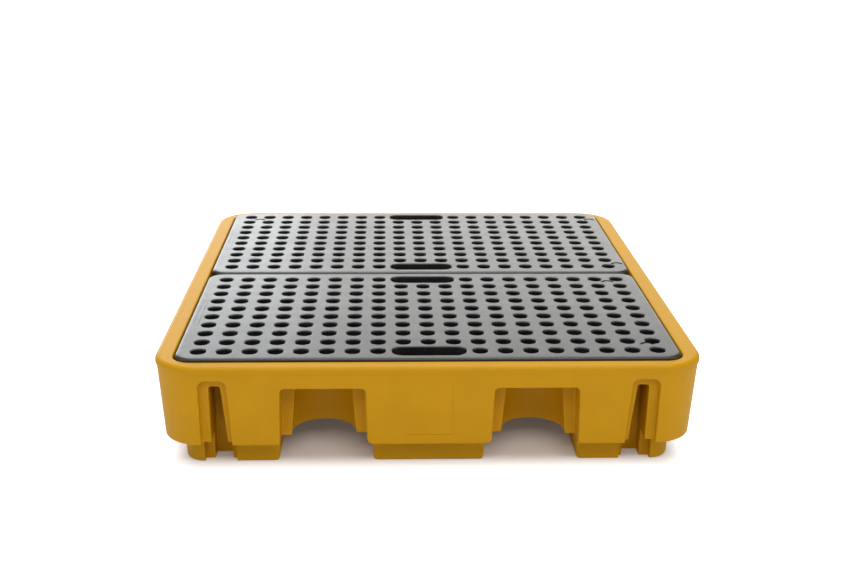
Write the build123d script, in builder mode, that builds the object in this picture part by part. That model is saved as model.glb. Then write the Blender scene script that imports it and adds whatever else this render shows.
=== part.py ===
"""Four-drum spill containment pallet: a one-piece moulded sump base and two lift-out deck grates.

Frame: +Z up, origin on the floor under the middle of the base, X along the front, front face towards -Y.
The base is a single moulded skin. Every recess is therefore made twice: once at full size, cut from the
outside, and once grown by the skin's thickness, kept back from the hollows, so that a wall is left.
"""

import os
from math import atan, degrees

from build123d import *

# ---------------------------------------------------------------- driving dimensions, millimetres
WIDTH = 1285.0  # over the rim, along the front
DEPTH = 1380.0  # over the rim, front to back
RIM_TOP = 264.0
SHELF = 216.0  # everything that carries a grate ends at this height
SKIRT_BOTTOM = 65.0  # underside of the skirt and roof of the fork ways
SKIN = 6.5  # moulded wall

# rim and skirt
RIM_CORNER = 110.0
RIM_RADIUS = 12.0
BAND_HEIGHT = 17.0
BAND_PROUD = 2.5
SKIRT_LEAN = 12.0  # how far the skirt draws in from the band to its bottom edge
OPENING_X = 597.0
OPENING_Y = 650.0
OPENING_CORNER = 46.0
OPENING_DRAFT = 1.0
OPENING_RADIUS = 5.0
BASIN_DRAFT = 3.5

# feet and fork ways
FOOT_INSET = 62.3
FOOT_CORNER = 48.0
FOOT_DRAFT = 3.0
FOOT_BOTTOM_RADIUS = 8.0
FOOT_SIDE_RADIUS = 9.0
WAY_CENTRE_X = 243.5
WAY_CENTRE_Y = 265.0
WAY_HALF = 112.5
WAY_DRAW = 3.5  # each side of a fork way draws in by this much up to its roof

# mouth recess, in the skirt over each end of a fork way
MOUTH_SHIFT = 4.0  # further out than the fork way's centre
MOUTH_HALF_BOTTOM = 102.0
MOUTH_HALF_TOP = 98.0
MOUTH_DEPTH = 70.0
MOUTH_CORNER = 11.0
MOUTH_BACK_RADIUS = 6.0
ROUND_BOTTOM = 78.0
ROUND_TOP = 66.0
ROUND_DEPTH = 82.0
ROUND_SHIFT = 1.5
LEG_CORNER = 14.0  # the middle leg's lower corners, beside the mouths

# stepped slots beside the corners
SLOT_SETBACK = 110.5
STEP_TOP = 230.0
STEP_WIDTH_TOP = 63.0
STEP_WIDTH_BOTTOM = 76.0
STEP_DEPTH = 18.0  # behind the skirt's face
STEP_DEPTH_FOOT = 83.0
STEP_CORNER = 17.0
GROOVE_MARGIN = 22.0
GROOVE_WIDTH_TOP = 26.0
GROOVE_WIDTH_BOTTOM = 39.0
GROOVE_DEPTH = 118.0
GROOVE_CORNER = 7.0
GROOVE_FLARE = 6.0  # further lean of the groove's inner side, down to the floor

# moulded pillars that carry the grates
PILLAR_BOTTOM = 56.0
PILLAR_TOP = 38.0

# roundings of the base's outside edges
OUTLINE_RADIUS = 3.5
GROOVE_RADIUS = 3.0
ARCH_RADIUS = 3.0
SMALL_RADIUS = 2.5

# blank marking panel on the front, and a mould's witness line on the rim
PANEL_HALF = 54.0
PANEL_BOTTOM = 90.0
PANEL_TOP = 228.0
PANEL_SINK = 1.0
PANEL_CORNER = 3.0
WITNESS = (27.0, 2.0, 0.8)
WITNESS_AT = (-620.0, 70.0)

# grates
GRATE_HALF_X = 592.0
GRATE_DEPTH = 640.0
GRATE_HEIGHT = 54.0
GRATE_CENTRE = 326.0
GRATE_CORNER = 38.0
GRATE_EDGE = 7.0
GRATE_WALL = 5.0
PITCH = 60.0
COLUMNS = 19
ROWS = 10
FIRST_ROW = 60.0
HOLE = 36.0
HOLE_LIP = 3.5
TUBE_WALL = 4.0
HANDLE_LENGTH = 176.0
HANDLE_WIDTH = 56.0
MARK_SINK = 0.8
MARK_LINE = 2.0
MARK_SIZE = (13.0, 184.0)
MARK_X = -572.0
DENT_ARC = 14.0
DENT_WIDTH = 9.0
DENT_SINK = 2.5
FRONT_DENTS = [(523.0, -559.0), (511.0, -82.0)]
REAR_DENTS = [(568.0, 85.0), (566.0, 571.0), (-510.0, 571.0)]
HANDLE_COLUMNS = 1  # the handle slot takes the place of this many columns each side of the middle

# ---------------------------------------------------------------- worked-out sizes
FRONT_REACH = DEPTH / 2
SIDE_REACH = WIDTH / 2
SKIRT_HEIGHT = RIM_TOP - BAND_HEIGHT - SKIRT_BOTTOM
SKIRT_DRAFT = degrees(atan(SKIRT_LEAN / SKIRT_HEIGHT))
FOOT_SPREAD = SKIRT_BOTTOM * (FOOT_DRAFT / 57.3)
BELOW = 10.0  # cutters run this far past a face
NEAR = 0.3  # edges are picked within this distance
CEILING = SHELF - SKIN


def block(half_x, half_y, corner, bottom, top, draft=0.0):
    """Upright block with rounded corners, sized at its bottom, wider upwards by the draft."""
    with BuildPart() as made:
        with BuildSketch(Plane.XY.offset(bottom)):
            RectangleRounded(2 * half_x, 2 * half_y, corner)
        extrude(amount=top - bottom, taper=-draft)
    return made.part


def skirt_body(inset, top):
    """The drafted upper body, drawn in by the inset, open at its bottom edge and closed at the top."""
    lean = BAND_PROUD + SKIRT_LEAN + inset
    return block(SIDE_REACH - lean, FRONT_REACH - lean, RIM_CORNER - lean, SKIRT_BOTTOM, top, SKIRT_DRAFT)


def foot_body(inset, top):
    """The lower body, divided into nine feet by two fork ways each way."""
    half_x = SIDE_REACH - FOOT_INSET - inset
    half_y = FRONT_REACH - FOOT_INSET - inset
    ways = [(Plane.XZ, WAY_CENTRE_X), (Plane.YZ, WAY_CENTRE_Y)]
    with BuildPart() as made:
        with BuildSketch(Plane.XY.offset(inset)):
            RectangleRounded(2 * half_x, 2 * half_y, FOOT_CORNER - inset)
        extrude(amount=top - inset, taper=-FOOT_DRAFT)
        for plane, centre in ways:
            with BuildSketch(plane):
                for side in (-1, 1):
                    middle = side * centre
                    half = WAY_HALF + inset
                    with BuildLine():
                        Polyline(
                            (middle - half, 0),
                            (middle + half, 0),
                            (middle + half - WAY_DRAW, top),
                            (middle - half + WAY_DRAW, top),
                            close=True,
                        )
                    make_face()
            extrude(amount=DEPTH, both=True, mode=Mode.SUBTRACT)
        radius = FOOT_SIDE_RADIUS if inset == 0 else FOOT_SIDE_RADIUS - 4
        uprights = [e for e in made.edges() if e.length < 1.2 * top and e.geom_type == GeomType.LINE]
        fillet([e for e in uprights if abs((e @ 0).Z - (e @ 1).Z) > top / 2 - inset], radius)
        if inset == 0:
            fillet(made.edges().group_by(Axis.Z)[0], FOOT_BOTTOM_RADIUS)
    return made.part


def mouth(reach, centre, grow):
    """Recess over the end of a fork way: a drafted box in the skirt, then half a cone behind it."""
    back = Plane.XZ.offset(reach - MOUTH_DEPTH - grow)
    wide = MOUTH_HALF_BOTTOM + grow
    narrow = MOUTH_HALF_TOP + grow
    fall = (wide - narrow) / (CEILING - SKIRT_BOTTOM)
    low = wide + fall * (SKIRT_BOTTOM + BELOW)
    taper = degrees(atan((ROUND_BOTTOM - ROUND_TOP) / (CEILING - SKIRT_BOTTOM)))
    with BuildPart() as made:
        with BuildSketch(back) as face:
            with BuildLine():
                Polyline(
                    (centre - low, -BELOW),
                    (centre + low, -BELOW),
                    (centre + narrow, CEILING + grow),
                    (centre - narrow, CEILING + grow),
                    close=True,
                )
            make_face()
            fillet(face.vertices().group_by(Axis.Z)[-1], MOUTH_CORNER + grow)
        extrude(amount=MOUTH_DEPTH + grow + BELOW)
        back_edges = made.faces().sort_by(Axis.Y)[-1].edges()
        fillet([e for e in back_edges if (e @ 0.5).Z > 0], MOUTH_BACK_RADIUS + grow)
        with BuildSketch(Plane.XY.offset(SKIRT_BOTTOM - BELOW)):
            with Locations((centre + ROUND_SHIFT, -reach + ROUND_DEPTH)):
                Circle(ROUND_BOTTOM + grow)
        extrude(amount=CEILING + grow - SKIRT_BOTTOM + BELOW, taper=taper)
    return made.part


def upright_prism(points, corner, reach, depth):
    """Prism over an upright outline whose upper corners are rounded, from a depth inside a face outwards."""
    with BuildPart() as made:
        with BuildSketch(Plane.XZ.offset(reach - depth)) as outline:
            with BuildLine():
                Polyline(*points, close=True)
            make_face()
            fillet(outline.vertices().group_by(Axis.Z)[-1], corner)
        extrude(amount=depth + BELOW)
    return made.part


def slot(reach, outer, grow, turn):
    """Stepped slot beside a corner: a shallow step in the skirt and foot, then a deep groove."""
    out = outer + grow
    step_top = outer - STEP_WIDTH_TOP - grow
    step_low = outer - STEP_WIDTH_BOTTOM - grow
    groove_out = outer - GROOVE_MARGIN + grow
    groove_top = outer - GROOVE_MARGIN - GROOVE_WIDTH_TOP - grow
    groove_low = outer - GROOVE_MARGIN - GROOVE_WIDTH_BOTTOM - GROOVE_FLARE - grow
    step = [(step_low, -BELOW), (out, -BELOW), (out, STEP_TOP + grow), (step_top, STEP_TOP + grow)]
    in_foot = [(step_low, -BELOW), (out, -BELOW), (out, SKIRT_BOTTOM + grow), (step_low, SKIRT_BOTTOM + grow)]
    groove = [
        (groove_low, -BELOW),
        (groove_out, -BELOW),
        (groove_out, CEILING + grow),
        (groove_top, CEILING + grow),
    ]
    core = skirt_body(STEP_DEPTH + grow, RIM_TOP).rotate(Axis.Z, -turn)
    with BuildPart() as made:
        add(upright_prism(step, STEP_CORNER + grow, reach, STEP_DEPTH_FOOT + grow))
        add(core, mode=Mode.SUBTRACT)
        add(upright_prism(in_foot, 1.0, reach, STEP_DEPTH_FOOT + grow))
        add(upright_prism(groove, GROOVE_CORNER + grow, reach, GROOVE_DEPTH + grow))
    return made.part


def recesses(grow):
    """All the recesses of the four sides: two mouths and two slots on each."""
    sides = [
        (FRONT_REACH, WAY_CENTRE_X, SIDE_REACH, 0),
        (SIDE_REACH, WAY_CENTRE_Y, FRONT_REACH, 90),
    ]
    made = []
    for reach, centre, corner, turn in sides:
        shapes = [mouth(reach, centre + MOUTH_SHIFT, grow), slot(reach, corner - SLOT_SETBACK, grow, turn)]
        for shape in shapes:
            pair = [shape, shape.mirror(Plane.YZ)]
            for half in pair:
                made.append(half.rotate(Axis.Z, turn))
                made.append(half.rotate(Axis.Z, turn + 180))
    return made


def pillars(grow):
    """Hollow cones that rise from the floor of the sump to the grates."""
    grid_x = (-WAY_CENTRE_X, 0, WAY_CENTRE_X)
    grid_y = (-WAY_CENTRE_Y, 0, WAY_CENTRE_Y)
    spots = [(x, y) for x in grid_x for y in grid_y if (x, y) != (0, 0)]
    taper = degrees(atan((PILLAR_BOTTOM - PILLAR_TOP) / (CEILING - SKIRT_BOTTOM)))
    with BuildPart() as made:
        with BuildSketch(Plane.XY.offset(SKIRT_BOTTOM)):
            with Locations(*spots):
                Circle(PILLAR_BOTTOM + grow)
        extrude(amount=CEILING + grow - SKIRT_BOTTOM, taper=taper)
    return made.part


# ---------------------------------------------------------------- which edges of the base are rounded
def level(edge):
    """True for an edge that lies at the underside of the skirt."""
    return max(abs((edge @ t).Z - SKIRT_BOTTOM) for t in (0, 0.5, 1)) < NEAR


def by_side(point):
    """A point seen from the front and from the side: (reach, distance out, distance along)."""
    return [(FRONT_REACH, abs(point.Y), abs(point.X)), (SIDE_REACH, abs(point.X), abs(point.Y))]


def place_on_skirt(edge):
    """(reach, distance along its side) of an edge that lies on the skirt's face, or None."""
    middle = edge @ 0.5
    if not SKIRT_BOTTOM + 1 < middle.Z < STEP_TOP + BELOW:
        return None
    lean = BAND_PROUD + SKIRT_LEAN * (1 - (middle.Z - SKIRT_BOTTOM) / SKIRT_HEIGHT)
    for reach, out, along in by_side(middle):
        if abs(out - (reach - lean)) < NEAR:
            return reach, along
    return None


def is_leg_corner(edge):
    """The lower edge of a mouth's inner side, on the middle leg."""
    if not level(edge) or edge.geom_type != GeomType.LINE or edge.length > MOUTH_DEPTH:
        return False
    centres = {FRONT_REACH: WAY_CENTRE_X, SIDE_REACH: WAY_CENTRE_Y}
    for start, end in zip(by_side(edge @ 0), by_side(edge @ 1)):
        reach, _, along = start
        side = centres[reach] + MOUTH_SHIFT - MOUTH_HALF_BOTTOM
        in_skirt = min(start[1], end[1]) > reach - MOUTH_DEPTH - 2
        if in_skirt and abs(along - end[2]) < NEAR and abs(along - side) < 2:
            return True
    return False


def is_mouth_outline(edge):
    """An edge where a mouth cuts the skirt's face."""
    place = place_on_skirt(edge)
    if place is None:
        return False
    centre = WAY_CENTRE_X if place[0] == FRONT_REACH else WAY_CENTRE_Y
    return abs(place[1] - centre - MOUTH_SHIFT) < MOUTH_HALF_BOTTOM + 6


def is_slot_outline(edge):
    """An edge where a slot's step cuts the skirt's face."""
    place = place_on_skirt(edge)
    if place is None:
        return False
    outer = (SIDE_REACH if place[0] == FRONT_REACH else FRONT_REACH) - SLOT_SETBACK
    return outer - STEP_WIDTH_BOTTOM - 4 < place[1] < outer + 2


def is_groove_outline(edge):
    """An edge where a slot's groove cuts its step."""
    middle = edge @ 0.5
    if not SKIRT_BOTTOM + 1 < middle.Z < CEILING + BELOW:
        return False
    lean = BAND_PROUD + STEP_DEPTH + SKIRT_LEAN * (1 - (middle.Z - SKIRT_BOTTOM) / SKIRT_HEIGHT)
    return any(abs(out - (reach - lean)) < NEAR for reach, out, _ in by_side(middle))


def is_arch(edge):
    """The long round edge under a mouth."""
    return level(edge) and edge.geom_type != GeomType.LINE and edge.length > 3 * ROUND_TOP


def is_corner(edge):
    """A corner of the skirt's bottom edge."""
    middle = edge @ 0.5
    return level(edge) and abs(middle.X) > SIDE_REACH - 80 and abs(middle.Y) > FRONT_REACH - 80


ROUNDINGS = [
    (is_leg_corner, LEG_CORNER),
    (is_arch, ARCH_RADIUS),
    (is_mouth_outline, OUTLINE_RADIUS),
    (is_slot_outline, OUTLINE_RADIUS),
    (is_groove_outline, GROOVE_RADIUS),
    (is_corner, SMALL_RADIUS),
]

# ---------------------------------------------------------------- sump base
opening = block(OPENING_X, OPENING_Y, OPENING_CORNER, SHELF, RIM_TOP, OPENING_DRAFT)
opening_wall = block(
    OPENING_X + SKIN, OPENING_Y + SKIN, OPENING_CORNER + SKIN, CEILING, RIM_TOP, OPENING_DRAFT
)
basin_x = SIDE_REACH - FOOT_INSET + FOOT_SPREAD
basin_y = FRONT_REACH - FOOT_INSET + FOOT_SPREAD
basin_wall = block(basin_x, basin_y, FOOT_CORNER, SKIRT_BOTTOM, CEILING + 1, BASIN_DRAFT)
basin = block(
    basin_x - SKIN, basin_y - SKIN, FOOT_CORNER - SKIN, SKIRT_BOTTOM + SKIN, SHELF, BASIN_DRAFT
)
cuts = recesses(0)
kept = recesses(SKIN)

with BuildPart() as panel:
    with BuildSketch(Plane.XZ.offset(FRONT_REACH - 60)):
        with Locations((0, (PANEL_BOTTOM + PANEL_TOP) / 2)):
            RectangleRounded(2 * PANEL_HALF, PANEL_TOP - PANEL_BOTTOM, PANEL_CORNER)
    extrude(amount=60)
    add(skirt_body(PANEL_SINK, RIM_TOP), mode=Mode.SUBTRACT)

with BuildPart() as skirt_gap:
    add(skirt_body(SKIN, RIM_TOP - SKIN))
    add(opening_wall, mode=Mode.SUBTRACT)
    add(basin_wall, mode=Mode.SUBTRACT)
    for shape in kept:
        add(shape, mode=Mode.SUBTRACT)

with BuildPart() as hollow:
    add(opening)
    add(basin)
    add(foot_body(SKIN, SKIRT_BOTTOM + SKIN + 1))
    for shape in kept:
        add(shape, mode=Mode.SUBTRACT)
    add(pillars(SKIN), mode=Mode.SUBTRACT)

with BuildPart() as band:
    add(block(SIDE_REACH, FRONT_REACH, RIM_CORNER, RIM_TOP - BAND_HEIGHT, RIM_TOP))
    fillet(band.edges().group_by(Axis.Z)[-1], RIM_RADIUS)

with BuildPart() as sump_base:
    add(skirt_body(0, RIM_TOP - BAND_HEIGHT / 2))
    add(band.part)
    add(foot_body(0, SKIRT_BOTTOM + SKIN))
    for shape in cuts:
        add(shape, mode=Mode.SUBTRACT)
    for belongs, radius in ROUNDINGS:
        picked = [edge for edge in sump_base.edges() if belongs(edge)]
        fillet(picked, radius)
    add(skirt_gap.part, mode=Mode.SUBTRACT)
    add(hollow.part, mode=Mode.SUBTRACT)
    add(pillars(0), mode=Mode.SUBTRACT)
    add(panel.part, mode=Mode.SUBTRACT)
    with BuildSketch(Plane.XY.offset(RIM_TOP)):
        with Locations(WITNESS_AT):
            Rectangle(WITNESS[0], WITNESS[1])
    extrude(amount=-WITNESS[2], mode=Mode.SUBTRACT)
    rim_edges = sump_base.edges().filter_by_position(Axis.Z, RIM_TOP - NEAR, RIM_TOP + NEAR)
    inner = [e for e in rim_edges if abs((e @ 0.5).X) < OPENING_X + 2 and abs((e @ 0.5).Y) < OPENING_Y + 2]
    fillet(inner, OPENING_RADIUS)

# ---------------------------------------------------------------- grates
def hole_spots(outermost):
    """Hole centres of one grate, from its outer row inwards, without the places of the two handles."""
    spots = []
    for row in range(ROWS):
        for column in range(-(COLUMNS // 2), COLUMNS // 2 + 1):
            in_handle = row in (0, ROWS - 1) and abs(column) <= HANDLE_COLUMNS
            if not in_handle:
                spots.append((column * PITCH, outermost + row * PITCH))
    return spots


def grate(centre_y, first_row_y, dents):
    """Hollow double-walled deck panel with moulded-through holes and two handle slots."""
    handles = [(0, first_row_y), (0, first_row_y + (ROWS - 1) * PITCH)]
    spots = hole_spots(first_row_y)
    base = SHELF
    top = SHELF + GRATE_HEIGHT
    with BuildPart() as made:
        with BuildSketch(Plane.XY.offset(base)):
            with Locations((0, centre_y)):
                RectangleRounded(2 * GRATE_HALF_X, GRATE_DEPTH, GRATE_CORNER)
            with Locations(*spots):
                Circle(HOLE / 2, mode=Mode.SUBTRACT)
            with Locations(*handles):
                SlotOverall(HANDLE_LENGTH, HANDLE_WIDTH, mode=Mode.SUBTRACT)
        extrude(amount=top - base)
        rounds = made.faces().sort_by(Axis.Z)[-1].inner_wires().edges()
        outside = made.faces().sort_by(Axis.Z)[-1].outer_wire().edges()
        fillet(rounds, HOLE_LIP)
        fillet(outside, GRATE_EDGE)
        with BuildSketch(Plane.XY.offset(base + GRATE_WALL)):
            with Locations((0, centre_y)):
                RectangleRounded(
                    2 * (GRATE_HALF_X - GRATE_WALL - 2),
                    GRATE_DEPTH - 2 * (GRATE_WALL + 2),
                    GRATE_CORNER - GRATE_WALL,
                )
            with Locations(*spots):
                Circle(HOLE / 2 + TUBE_WALL, mode=Mode.SUBTRACT)
            with Locations(*handles):
                SlotOverall(
                    HANDLE_LENGTH + 2 * TUBE_WALL, HANDLE_WIDTH + 2 * TUBE_WALL, mode=Mode.SUBTRACT
                )
        extrude(amount=GRATE_HEIGHT - 2 * GRATE_WALL, mode=Mode.SUBTRACT)
        with BuildSketch(Plane.XY.offset(top)):
            with Locations((MARK_X, centre_y)):
                Rectangle(*MARK_SIZE)
                Rectangle(MARK_SIZE[0] - MARK_LINE, MARK_SIZE[1] - MARK_LINE, mode=Mode.SUBTRACT)
        extrude(amount=-MARK_SINK, mode=Mode.SUBTRACT)
        with BuildSketch(Plane.XY.offset(top)):
            for x, y in dents:
                with BuildLine():
                    arc = CenterArc((x, y - DENT_ARC / 2), DENT_ARC, 20, 140)
                SlotArc(arc, DENT_WIDTH)
        extrude(amount=-DENT_SINK, mode=Mode.SUBTRACT)
    return made


front_grate = grate(-GRATE_CENTRE, -FIRST_ROW - (ROWS - 1) * PITCH, FRONT_DENTS)
rear_grate = grate(GRATE_CENTRE, FIRST_ROW, REAR_DENTS)

# ---------------------------------------------------------------- files
os.makedirs("parts", exist_ok=True)
sump_base.part.label = "sump_base"
export_step(sump_base.part, "parts/sump_base.step")
front_grate.part.label = "front_grate"
export_step(front_grate.part, "parts/front_grate.step")
rear_grate.part.label = "rear_grate"
export_step(rear_grate.part, "parts/rear_grate.step")
print("litres of skin in the base:", round(sump_base.part.volume / 1e6, 1))
print("litres the sump holds to the rim:", round(hollow.part.volume / 1e6, 1))
print("litres of plastic in a grate:", round(front_grate.part.volume / 1e6, 1))
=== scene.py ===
"""Spill containment pallet as a Blender add-on: finishes for the moulded base and the two lift-out grates,
a soft-lit pale studio stage, and one camera.

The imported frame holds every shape. This script gives each node its moulded-polyethylene finish: one shared
node group makes the cloudy pigment, the drifting roughness and the fine grain, with other values for each.
"""

from math import radians

import bpy
from mathutils import Matrix, Vector


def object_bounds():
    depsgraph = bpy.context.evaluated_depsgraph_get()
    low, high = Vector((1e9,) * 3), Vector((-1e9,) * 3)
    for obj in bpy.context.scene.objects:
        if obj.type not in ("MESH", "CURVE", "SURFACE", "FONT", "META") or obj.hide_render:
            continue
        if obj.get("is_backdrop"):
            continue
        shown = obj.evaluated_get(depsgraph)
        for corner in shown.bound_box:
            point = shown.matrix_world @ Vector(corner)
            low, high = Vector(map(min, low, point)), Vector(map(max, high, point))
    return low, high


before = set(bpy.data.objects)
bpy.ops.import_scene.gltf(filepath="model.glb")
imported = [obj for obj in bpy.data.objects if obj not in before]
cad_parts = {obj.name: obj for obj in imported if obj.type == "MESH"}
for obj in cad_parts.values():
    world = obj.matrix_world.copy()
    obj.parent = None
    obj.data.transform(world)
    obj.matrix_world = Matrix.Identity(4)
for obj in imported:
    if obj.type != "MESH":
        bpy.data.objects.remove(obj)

# surround
SKY_LIGHT = 0.30  # its strength as a light
SKY_SEEN = 1.1  # its strength as a backdrop

# floor, in metres where it is a length
FLOOR_REACH = 4.8
FLOOR_SHADER = {"Base Color": (0.9, 0.9, 0.9, 1), "Roughness": 0.9, "Specular IOR Level": 0.1}
PAINTED_GLOW = 0.75  # painted light on the floor: how much it glows of itself away from the pallet, washing out the pallet's cast shadow there
GLOW_UNDER = 0.05  # and how much under it, kept low so the shade under the pallet stays
GLOW_INSIDE = 0.10  # how far inside the footprint that shine begins
GLOW_REACH = 0.10  # the distance over which it builds up
GLOW_LIT = 0.1  # the part of that painted glow that lights the pallet
GLOW_SEEN = 1.0  # and the part that the camera sees

SENSOR_WIDTH = 36.0  # the camera's, in millimetres

# name, place, target, width and height in metres, watts, colour
SOFT_BOXES = (
    ("back_left", (-2.65, 5.4, 1.3), (-2.65, 0, 0.2), (3.9, 2.6), 136, (0.96, 0.985, 1.0)),
    ("back_right", (1.35, 5.4, 1.3), (1.35, 0, 0.2), (4.1, 2.6), 84, (1.0, 1.0, 0.955)),
    ("top", (-0.1, 0.8, 4.4), (0, 0, 0.0), (4.0, 3.0), 160, (1, 1, 1)),
    ("front", (0.3, -3.7, 3.4), (0, -0.5, 0.1), (3.6, 1.2), 60, (1.0, 0.99, 0.97)),
    ("left", (-4.4, -2.4, 1.2), (0, 0, 0.1), (2.0, 1.6), 24, (1, 1, 1)),
    ("right", (4.4, -2.4, 1.2), (0, 0, 0.1), (2.0, 1.6), 30, (1, 1, 1)),
)

# the shared skin: the range in which its cloud noise mostly lies, and the height of its grain in metres
CLOUD_LOW = 0.35
CLOUD_HIGH = 0.65
GRAIN_HEIGHT = 0.0006

# each finish's own values on the inputs of the shared skin
BASE_SKIN = {
    "Cloud Scale": 9.0,
    "Cloud Depth": 0.06,
    "Roughness Spread": 0.09,
    "Grain Scale": 420.0,
    "Grain Strength": 0.06,
}
GRATE_SKIN = {
    "Cloud Scale": 24.0,
    "Cloud Depth": 0.5,
    "Roughness Spread": 0.2,
    "Grain Scale": 500.0,
    "Grain Strength": 0.1,
}

# and its constants on the shader
BASE_SHADER = {
    "Subsurface Weight": 0.12,
    "Subsurface Radius": (0.012, 0.006, 0.001),
    "Subsurface Scale": 1.0,
    "Specular IOR Level": 0.17,
}
GRATE_SHADER = {
    "Specular IOR Level": 0.8,
    "Coat Weight": 0.3,
    "Coat Roughness": 0.22,
}

bl_info = {
    "name": "Spill Containment Pallet",
    "version": (1, 0, 0),
    "blender": (4, 5, 0),
    "location": "View3D > Sidebar > Pallet",
    "description": "Finishes, stage and camera for a moulded spill containment pallet",
    "category": "Object",
}


# ---------------------------------------------------------------- settings
class PalletSettings(bpy.types.PropertyGroup):
    """Driving values of the finishes and the stage."""

    base_colour: bpy.props.FloatVectorProperty(
        name="Base colour",
        description="Colour of the moulded base's pigment",
        subtype="COLOR",
        size=3,
        min=0.0,
        max=1.0,
        default=(0.57, 0.285, 0.0),
    )
    grate_colour: bpy.props.FloatVectorProperty(
        name="Grate colour",
        description="Colour of the grates' pigment",
        subtype="COLOR",
        size=3,
        min=0.0,
        max=1.0,
        default=(0.008, 0.008, 0.009),
    )
    base_roughness: bpy.props.FloatProperty(
        name="Base roughness",
        description="Least roughness of the moulded base",
        default=0.46,
        min=0.0,
        max=1.0,
    )
    grate_roughness: bpy.props.FloatProperty(
        name="Grate roughness",
        description="Least roughness of the grates",
        default=0.34,
        min=0.0,
        max=1.0,
    )
    camera_place: bpy.props.FloatVectorProperty(
        name="Camera place",
        description="Where the camera stands, from the middle of the base on the floor",
        subtype="TRANSLATION",
        unit="LENGTH",
        size=3,
        default=(-0.1036, -3.2351, 1.3044),
    )
    camera_yaw: bpy.props.FloatProperty(
        name="Camera yaw",
        description="How far the camera is turned to the right of straight back",
        subtype="ANGLE",
        unit="ROTATION",
        default=radians(2.0),
    )
    camera_pitch: bpy.props.FloatProperty(
        name="Camera pitch",
        description="How far the camera looks down",
        subtype="ANGLE",
        unit="ROTATION",
        default=radians(18.23),
    )
    camera_roll: bpy.props.FloatProperty(
        name="Camera roll",
        description="How far the camera is tilted about its own axis",
        subtype="ANGLE",
        unit="ROTATION",
        default=radians(0.5),
    )
    camera_lens: bpy.props.FloatProperty(
        name="Camera lens",
        description="Focal length on a 36 mm wide sensor, in millimetres",
        default=51.04,
        min=1.0,
    )


def settings():
    """The scene's pallet settings."""
    return bpy.context.scene.pallet


# ---------------------------------------------------------------- node helpers
def new_material(name):
    """A node material, with its tree and its shader."""
    material = bpy.data.materials.new(name)
    material.use_nodes = True
    tree = material.node_tree
    return material, tree, tree.nodes["Principled BSDF"]


def add_node(tree, kind, **values):
    """A node of this kind whose named input sockets and attributes are set."""
    node = tree.nodes.new(kind)
    for key, value in values.items():
        if key in node.inputs:
            node.inputs[key].default_value = value
        else:
            setattr(node, key, value)
    return node


def set_inputs(node, values):
    """Sets a node's input sockets from a table of socket name and value."""
    for name, value in values.items():
        node.inputs[name].default_value = value


def use_finish(node, material):
    """Gives a CAD node one material on every slot."""
    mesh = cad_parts[node].data
    if not mesh.materials:
        mesh.materials.append(material)
    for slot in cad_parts[node].material_slots:
        slot.material = material


# ---------------------------------------------------------------- finishes
def open_skin_group():
    """An empty node group with the shared skin's inputs and outputs."""
    group = bpy.data.node_groups.new("moulded_skin", "ShaderNodeTree")
    pigment = group.interface.new_socket(name="Pigment", in_out="INPUT", socket_type="NodeSocketColor")
    pigment.default_value = (0.5, 0.5, 0.5, 1)
    for name, default in (
        ("Cloud Scale", 10.0),
        ("Cloud Depth", 0.1),
        ("Least Roughness", 0.5),
        ("Roughness Spread", 0.1),
        ("Grain Scale", 400.0),
        ("Grain Strength", 0.1),
    ):
        socket = group.interface.new_socket(name=name, in_out="INPUT", socket_type="NodeSocketFloat")
        socket.default_value = default
    for name, kind in (("Colour", "Color"), ("Roughness", "Float"), ("Normal", "Vector")):
        group.interface.new_socket(name=name, in_out="OUTPUT", socket_type="NodeSocket" + kind)
    return group


def moulded_skin():
    """The node group that both finishes share: cloudy pigment, drifting roughness and fine grain."""
    if "moulded_skin" in bpy.data.node_groups:
        return bpy.data.node_groups["moulded_skin"]
    group = open_skin_group()
    given = group.nodes.new("NodeGroupInput")
    result = group.nodes.new("NodeGroupOutput")
    coords = group.nodes.new("ShaderNodeTexCoord")
    cloud = add_node(group, "ShaderNodeTexNoise", Detail=4.0, Roughness=0.6)
    darkest = add_node(group, "ShaderNodeMath", operation="SUBTRACT")
    darkest.inputs[0].default_value = 1.0
    shade = group.nodes.new("ShaderNodeMapRange")
    set_inputs(shade, {"From Min": CLOUD_LOW, "From Max": CLOUD_HIGH})
    tint = add_node(group, "ShaderNodeVectorMath", operation="SCALE")
    rough = add_node(group, "ShaderNodeMath", operation="MULTIPLY_ADD")
    grain = add_node(group, "ShaderNodeTexNoise", Detail=3.0, Roughness=0.6)
    bump = add_node(group, "ShaderNodeBump", Distance=GRAIN_HEIGHT)
    for source, target in (
        (coords.outputs["Object"], cloud.inputs["Vector"]),
        (given.outputs["Cloud Scale"], cloud.inputs["Scale"]),
        (given.outputs["Cloud Depth"], darkest.inputs[1]),
        (cloud.outputs["Fac"], shade.inputs["Value"]),
        (darkest.outputs["Value"], shade.inputs["To Min"]),
        (given.outputs["Pigment"], tint.inputs[0]),
        (shade.outputs["Result"], tint.inputs["Scale"]),
        (tint.outputs["Vector"], result.inputs["Colour"]),
        (cloud.outputs["Fac"], rough.inputs[0]),
        (given.outputs["Roughness Spread"], rough.inputs[1]),
        (given.outputs["Least Roughness"], rough.inputs[2]),
        (rough.outputs["Value"], result.inputs["Roughness"]),
        (coords.outputs["Object"], grain.inputs["Vector"]),
        (given.outputs["Grain Scale"], grain.inputs["Scale"]),
        (given.outputs["Grain Strength"], bump.inputs["Strength"]),
        (grain.outputs["Fac"], bump.inputs["Height"]),
        (bump.outputs["Normal"], result.inputs["Normal"]),
    ):
        group.links.new(source, target)
    return group


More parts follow.
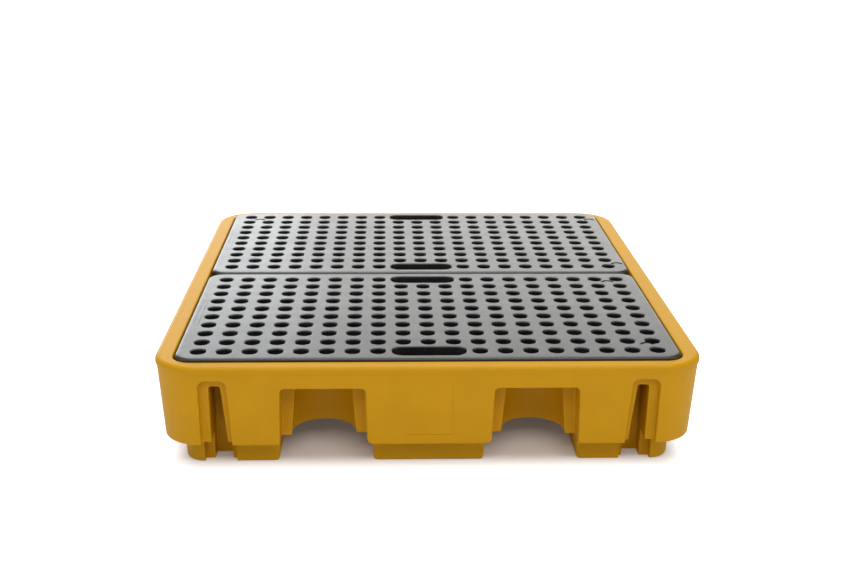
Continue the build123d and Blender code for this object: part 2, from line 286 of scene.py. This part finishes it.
def moulded_finish(name, pigment, roughness, skin_values, shader_values):
    """A finish: the shared skin with its own values, on a shader with its own constants."""
    material, tree, shader = new_material(name)
    skin = tree.nodes.new("ShaderNodeGroup")
    skin.node_tree = moulded_skin()
    set_inputs(skin, {"Pigment": (*pigment, 1), "Least Roughness": roughness, **skin_values})
    set_inputs(shader, shader_values)
    for output, socket in (("Colour", "Base Color"), ("Roughness", "Roughness"), ("Normal", "Normal")):
        tree.links.new(skin.outputs[output], shader.inputs[socket])
    return material


# ---------------------------------------------------------------- stage
def soft_box(name, place, target, size, power, colour):
    """A rectangular light at a place, turned to a target and unseen by the camera."""
    data = bpy.data.lights.new(name, "AREA")
    data.shape = "RECTANGLE"
    data.size, data.size_y = size
    data.energy = power
    data.color = colour
    light = bpy.data.objects.new(name, data)
    light.visible_camera = False
    light.location = place
    light.rotation_euler = (Vector(target) - Vector(place)).to_track_quat("-Z", "Y").to_euler()
    bpy.context.scene.collection.objects.link(light)


def painted_glow_round_footprint(tree, high):
    """The painted glow's strength: a grey that rises outwards from the footprint, whose high corner is
    given.

    It is length(max(|p| - corner, 0)), eased up to the end of the glow's reach.
    """
    coords = add_node(tree, "ShaderNodeTexCoord")
    folded = add_node(tree, "ShaderNodeVectorMath", operation="ABSOLUTE")
    tree.links.new(coords.outputs["Object"], folded.inputs[0])
    outside = add_node(tree, "ShaderNodeVectorMath", operation="SUBTRACT")
    outside.inputs[1].default_value = (high[0] - GLOW_INSIDE, high[1] - GLOW_INSIDE, 0)
    tree.links.new(folded.outputs["Vector"], outside.inputs[0])
    kept = add_node(tree, "ShaderNodeVectorMath", operation="MAXIMUM")
    kept.inputs[1].default_value = (0, 0, 0)
    tree.links.new(outside.outputs["Vector"], kept.inputs[0])
    far = add_node(tree, "ShaderNodeVectorMath", operation="LENGTH")
    tree.links.new(kept.outputs["Vector"], far.inputs[0])
    eased = add_node(tree, "ShaderNodeMapRange", interpolation_type="SMOOTHSTEP")
    set_inputs(eased, {"From Max": GLOW_REACH, "To Min": GLOW_UNDER, "To Max": PAINTED_GLOW})
    tree.links.new(far.outputs["Value"], eased.inputs["Value"])
    return eased.outputs["Result"]


def seen_or_lighting(tree, lighting, seen):
    """A strength that is one value to the camera and another to everything that it lights."""
    path = tree.nodes.new("ShaderNodeLightPath")
    strength = tree.nodes.new("ShaderNodeMapRange")
    set_inputs(strength, {"To Min": lighting, "To Max": seen})
    tree.links.new(path.outputs["Is Camera Ray"], strength.inputs["Value"])
    return strength.outputs["Result"]


def studio_floor():
    """A pale floor with painted light: a glow of its own that rises away from the pallet and washes out its
    cast shadow. It ends where the equally white surround takes over.
    """
    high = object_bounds()[1]
    mesh = bpy.data.meshes.new("floor")
    corners = [(x * FLOOR_REACH, y * FLOOR_REACH, 0) for x, y in ((-1, -1), (1, -1), (1, 1), (-1, 1))]
    mesh.from_pydata(corners, [], [(0, 1, 2, 3)])
    floor = bpy.data.objects.new("floor", mesh)
    bpy.context.scene.collection.objects.link(floor)
    material, tree, shader = new_material("floor_white_painted_glow")
    set_inputs(shader, FLOOR_SHADER)
    # painted light: the floor's own emission, low under the pallet and rising outside it, washes out the
    # pallet's cast shadow
    tree.links.new(painted_glow_round_footprint(tree, high), shader.inputs["Emission Color"])
    tree.links.new(seen_or_lighting(tree, GLOW_LIT, GLOW_SEEN), shader.inputs["Emission Strength"])
    mesh.materials.append(material)
    floor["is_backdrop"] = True


def studio_world():
    """An even white surround."""
    world = bpy.data.worlds.new("studio")
    world.use_nodes = True
    tree = world.node_tree
    background = tree.nodes["Background"]
    background.inputs["Color"].default_value = (1, 1, 1, 1)
    tree.links.new(seen_or_lighting(tree, SKY_LIGHT, SKY_SEEN), background.inputs["Strength"])
    bpy.context.scene.world = world


def studio_camera():
    """The camera, from its place, its angles and its lens."""
    chosen = settings()
    data = bpy.data.cameras.new("camera")
    data.sensor_width = SENSOR_WIDTH
    data.lens = chosen.camera_lens
    camera = bpy.data.objects.new("camera", data)
    heading = Matrix.Rotation(-chosen.camera_yaw, 4, "Z")
    dip = Matrix.Rotation(radians(90) - chosen.camera_pitch, 4, "X")
    tilt = Matrix.Rotation(chosen.camera_roll, 4, "Z")
    camera.matrix_world = Matrix.Translation(chosen.camera_place) @ heading @ dip @ tilt
    bpy.context.scene.collection.objects.link(camera)
    bpy.context.scene.camera = camera


# ---------------------------------------------------------------- operators
class PALLET_OT_base(bpy.types.Operator):
    """Finish the moulded sump base."""

    bl_idname = "pallet.base"
    bl_label = "Finish the base"

    def execute(self, context):
        pigment, roughness = settings().base_colour, settings().base_roughness
        use_finish("sump_base", moulded_finish("moulded_yellow", pigment, roughness, BASE_SKIN, BASE_SHADER))
        return {"FINISHED"}


class PALLET_OT_grates(bpy.types.Operator):
    """Finish the two lift-out grates."""

    bl_idname = "pallet.grates"
    bl_label = "Finish the grates"

    def execute(self, context):
        pigment, roughness = settings().grate_colour, settings().grate_roughness
        finish = moulded_finish("moulded_black", pigment, roughness, GRATE_SKIN, GRATE_SHADER)
        for node in ("front_grate", "rear_grate"):
            use_finish(node, finish)
        return {"FINISHED"}


class PALLET_OT_stage(bpy.types.Operator):
    """Set up the floor, the lights and the camera."""

    bl_idname = "pallet.stage"
    bl_label = "Set the stage"

    def execute(self, context):
        studio_floor()
        studio_world()
        for box in SOFT_BOXES:
            soft_box(*box)
        studio_camera()
        context.scene.view_settings.view_transform = "Standard"
        return {"FINISHED"}


class PALLET_PT_panel(bpy.types.Panel):
    """Buttons and values of the pallet."""

    bl_idname = "PALLET_PT_panel"
    bl_label = "Spill containment pallet"
    bl_space_type = "VIEW_3D"
    bl_region_type = "UI"
    bl_category = "Pallet"

    def draw(self, context):
        for name in PalletSettings.__annotations__:
            self.layout.prop(context.scene.pallet, name)
        for operator in OPERATORS:
            self.layout.operator(operator.bl_idname)


OPERATORS = (PALLET_OT_base, PALLET_OT_grates, PALLET_OT_stage)
CLASSES = (PalletSettings, *OPERATORS, PALLET_PT_panel)


def register():
    """Registers the classes and the scene's settings."""
    for item in CLASSES:
        bpy.utils.register_class(item)
    bpy.types.Scene.pallet = bpy.props.PointerProperty(type=PalletSettings)


def unregister():
    """Undoes register."""
    del bpy.types.Scene.pallet
    for item in reversed(CLASSES):
        bpy.utils.unregister_class(item)


def main():
    """Makes the whole scene."""
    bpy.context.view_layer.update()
    register()
    bpy.ops.pallet.base()
    bpy.ops.pallet.grates()
    bpy.ops.pallet.stage()


if __name__ == "__main__":
    main()
